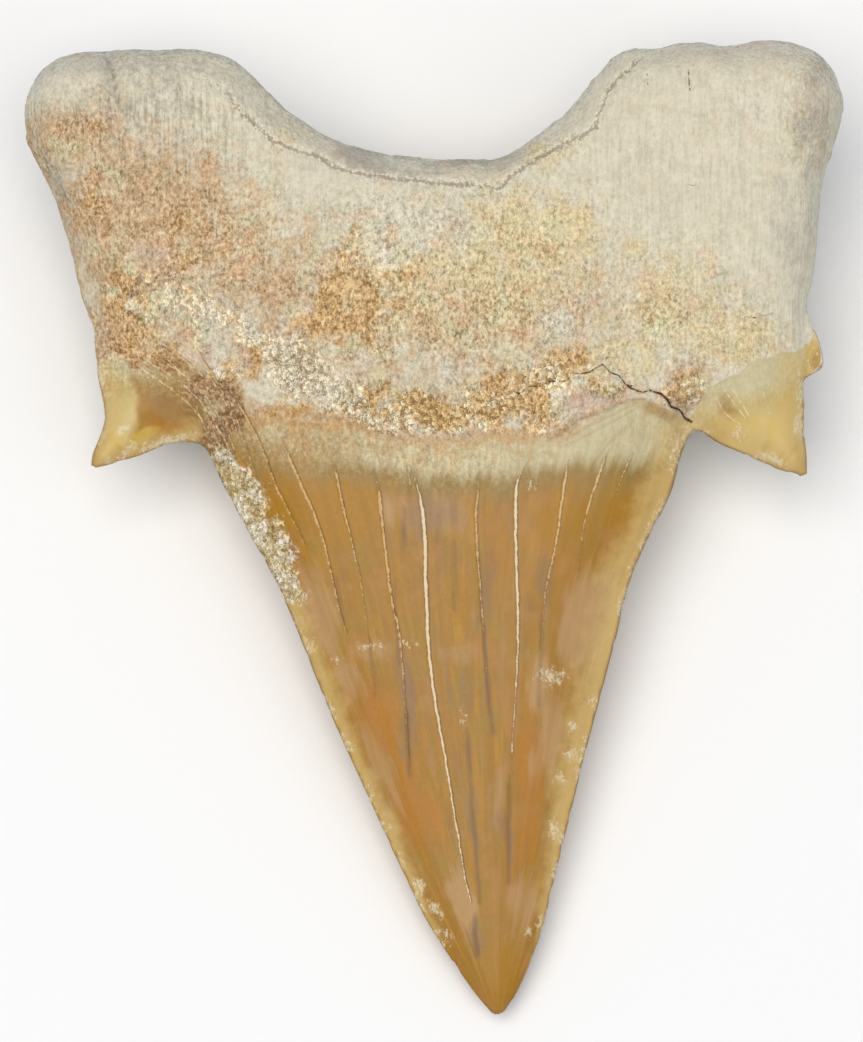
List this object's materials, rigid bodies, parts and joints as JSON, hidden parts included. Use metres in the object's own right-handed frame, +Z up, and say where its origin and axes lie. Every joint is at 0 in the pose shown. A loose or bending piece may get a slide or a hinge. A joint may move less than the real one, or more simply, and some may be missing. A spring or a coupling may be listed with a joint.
{
  "type": "fossil shark tooth",
  "caption": "Fossil mackerel shark tooth: broad two-lobed bone-coloured root, tall triangular amber crown and small side cusps, lying on its bulging inner face.",
  "frame": {"origin": "on the resting plane, under the middle of the tooth's bounding box", "axes": "+X to the tooth's right seen from its flat outer face, +Y from the crown's tip towards the root, +Z up, out of the flat outer face that looks up as the tooth lies"},
  "size_m": [0.0678, 0.0792, 0.0202],
  "materials": {
    "tooth": "porous cream root bone with tan and gold-brown stains, and glossy translucent amber enamel with fine pale cracks"
  },
  "bodies": {
    "root": {"tooth": "tooth"}
  },
  "joints": []
}
